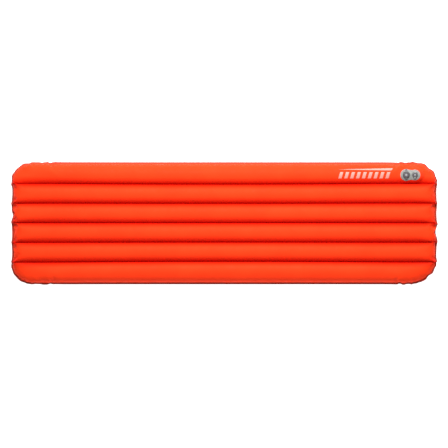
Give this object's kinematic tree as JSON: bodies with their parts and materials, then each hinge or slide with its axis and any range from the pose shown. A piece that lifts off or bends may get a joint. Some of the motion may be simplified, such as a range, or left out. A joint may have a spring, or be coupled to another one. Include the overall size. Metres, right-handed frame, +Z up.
{
  "type": "inflatable sleeping pad",
  "caption": "Inflated air mattress for camping, with lengthwise air tubes, rounded corners and a pair of capped air valves on a patch near one corner.",
  "frame": {"origin": "on the ground, under the middle of the inflated pad's box", "axes": "+X along the pad towards the end with the valves, +Y across it towards the valves' side, +Z up"},
  "size_m": [1.829, 0.5246, 0.1001],
  "materials": {
    "top_fabric": "satin",
    "bottom_fabric": "matte",
    "patch_fabric": "matte",
    "baffle_film": "satin",
    "valve_body": "satin",
    "valve_strap": "satin",
    "valve_cap": "satin",
    "seal_rubber": "matte",
    "flap_silicone": "satin"
  },
  "bodies": {
    "pad": {"top_sheet": "top_fabric", "bottom_sheet": "bottom_fabric", "valve_patch": "patch_fabric", "baffle_1": "baffle_film", "baffle_2": "baffle_film", "baffle_3": "baffle_film", "baffle_4": "baffle_film", "baffle_5": "baffle_film", "inflate_base": "valve_body", "inflate_tether_ring": "valve_strap", "inflate_spider": "valve_body", "deflate_base": "valve_body", "deflate_tether_ring": "valve_strap"},
    "inflate_cap": {"inflate_cap": "valve_cap", "inflate_strap": "valve_strap", "inflate_seal": "seal_rubber"},
    "deflate_cap": {"deflate_cap": "valve_cap", "deflate_strap": "valve_strap", "deflate_seal": "seal_rubber"},
    "release_button": {"inflate_release_button": "valve_cap", "inflate_flap": "flap_silicone"}
  },
  "joints": [
    {"name": "inflate_cap_hinge", "type": "hinge", "parent": "pad", "child": "inflate_cap", "pos_m": [0.7775, 0.18925, 0.09745], "axis": [1, 0, 0], "range_deg": [0, 180]},
    {"name": "deflate_cap_hinge", "type": "hinge", "parent": "pad", "child": "deflate_cap", "pos_m": [0.815, 0.19175, 0.09745], "axis": [1, 0, 0], "range_deg": [0, 180]},
    {"name": "release_button_slide", "type": "slide", "parent": "pad", "child": "release_button", "axis": [0, 0, -1], "range_m": [0, 0.0023], "stiffness_N_per_m": 200, "springref_m": -0.001}
  ]
}
